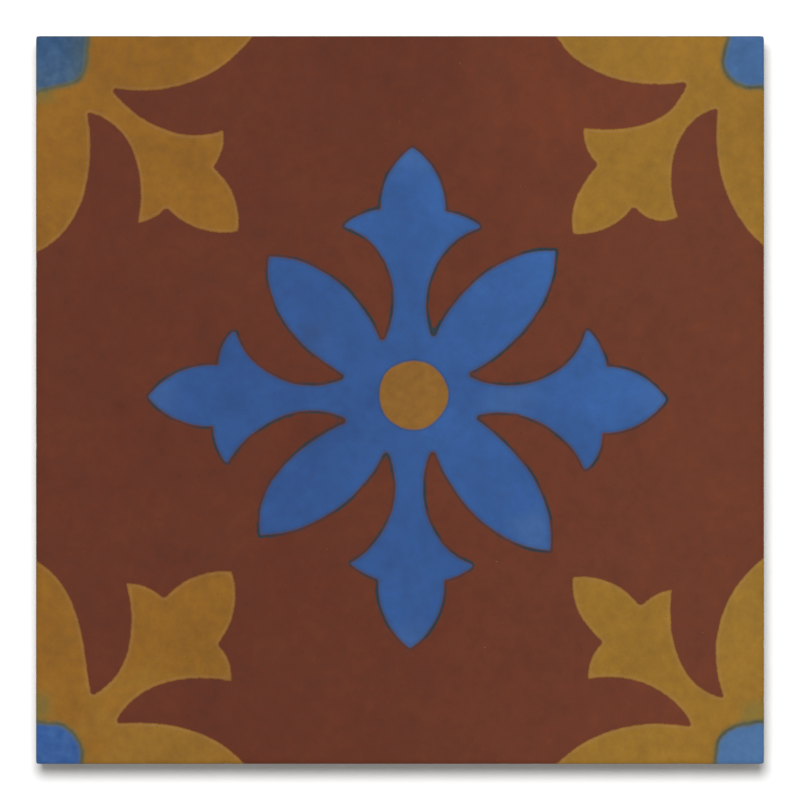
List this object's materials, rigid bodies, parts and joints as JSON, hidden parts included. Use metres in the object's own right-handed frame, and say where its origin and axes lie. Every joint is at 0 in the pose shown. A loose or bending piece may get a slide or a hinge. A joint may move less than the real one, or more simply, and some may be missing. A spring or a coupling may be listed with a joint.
{
  "type": "cement tile",
  "caption": "Square encaustic cement tile, blue flower with an ochre heart and ochre corner figures on a terracotta ground, eased face edges, drawn sides and a keyed back.",
  "frame": {"origin": "centre of the back, on the plane that the tile rests or is bedded on", "axes": "+Z from the back to the patterned face, +Y towards the top of the pattern as in the picture, +X to its right"},
  "size_m": [0.2, 0.2, 0.016],
  "materials": {
    "tile": "matte"
  },
  "bodies": {
    "root": {"tile": "tile"}
  },
  "joints": []
}
